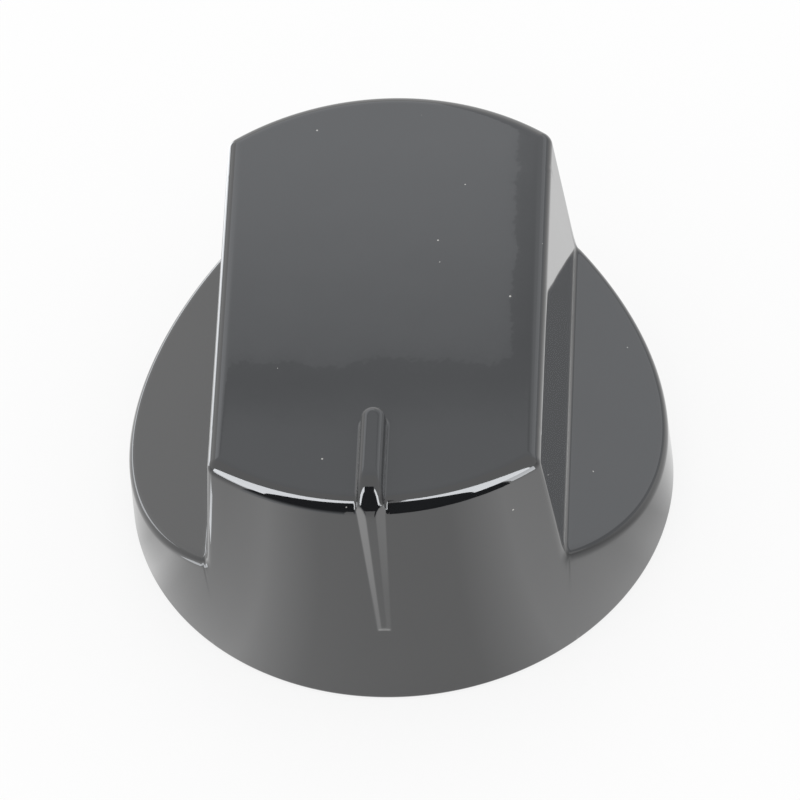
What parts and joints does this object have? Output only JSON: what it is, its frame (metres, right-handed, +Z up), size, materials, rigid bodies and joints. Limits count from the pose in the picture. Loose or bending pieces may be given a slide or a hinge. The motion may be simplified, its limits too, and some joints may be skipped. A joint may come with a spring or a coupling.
{
  "type": "stove knob",
  "caption": "Round push-on control knob with a wide bar grip, sloping shoulders and a raised pointer; the hollow underside holds a slit boss with a D socket and a spring ring.",
  "frame": {"origin": "centre of the base plane, on the spindle axis", "axes": "+Z up along the spindle axis towards the flat top, -Y the way the pointer looks, the shoulders on the X sides"},
  "size_m": [0.044, 0.044, 0.0257],
  "materials": {
    "black_plastic": "polished black moulding with a faint ripple and a little dust",
    "spring_steel": "bright rolled spring steel strip"
  },
  "bodies": {
    "root": {"knob_body": "black_plastic", "spring_ring": "spring_steel"}
  },
  "joints": []
}
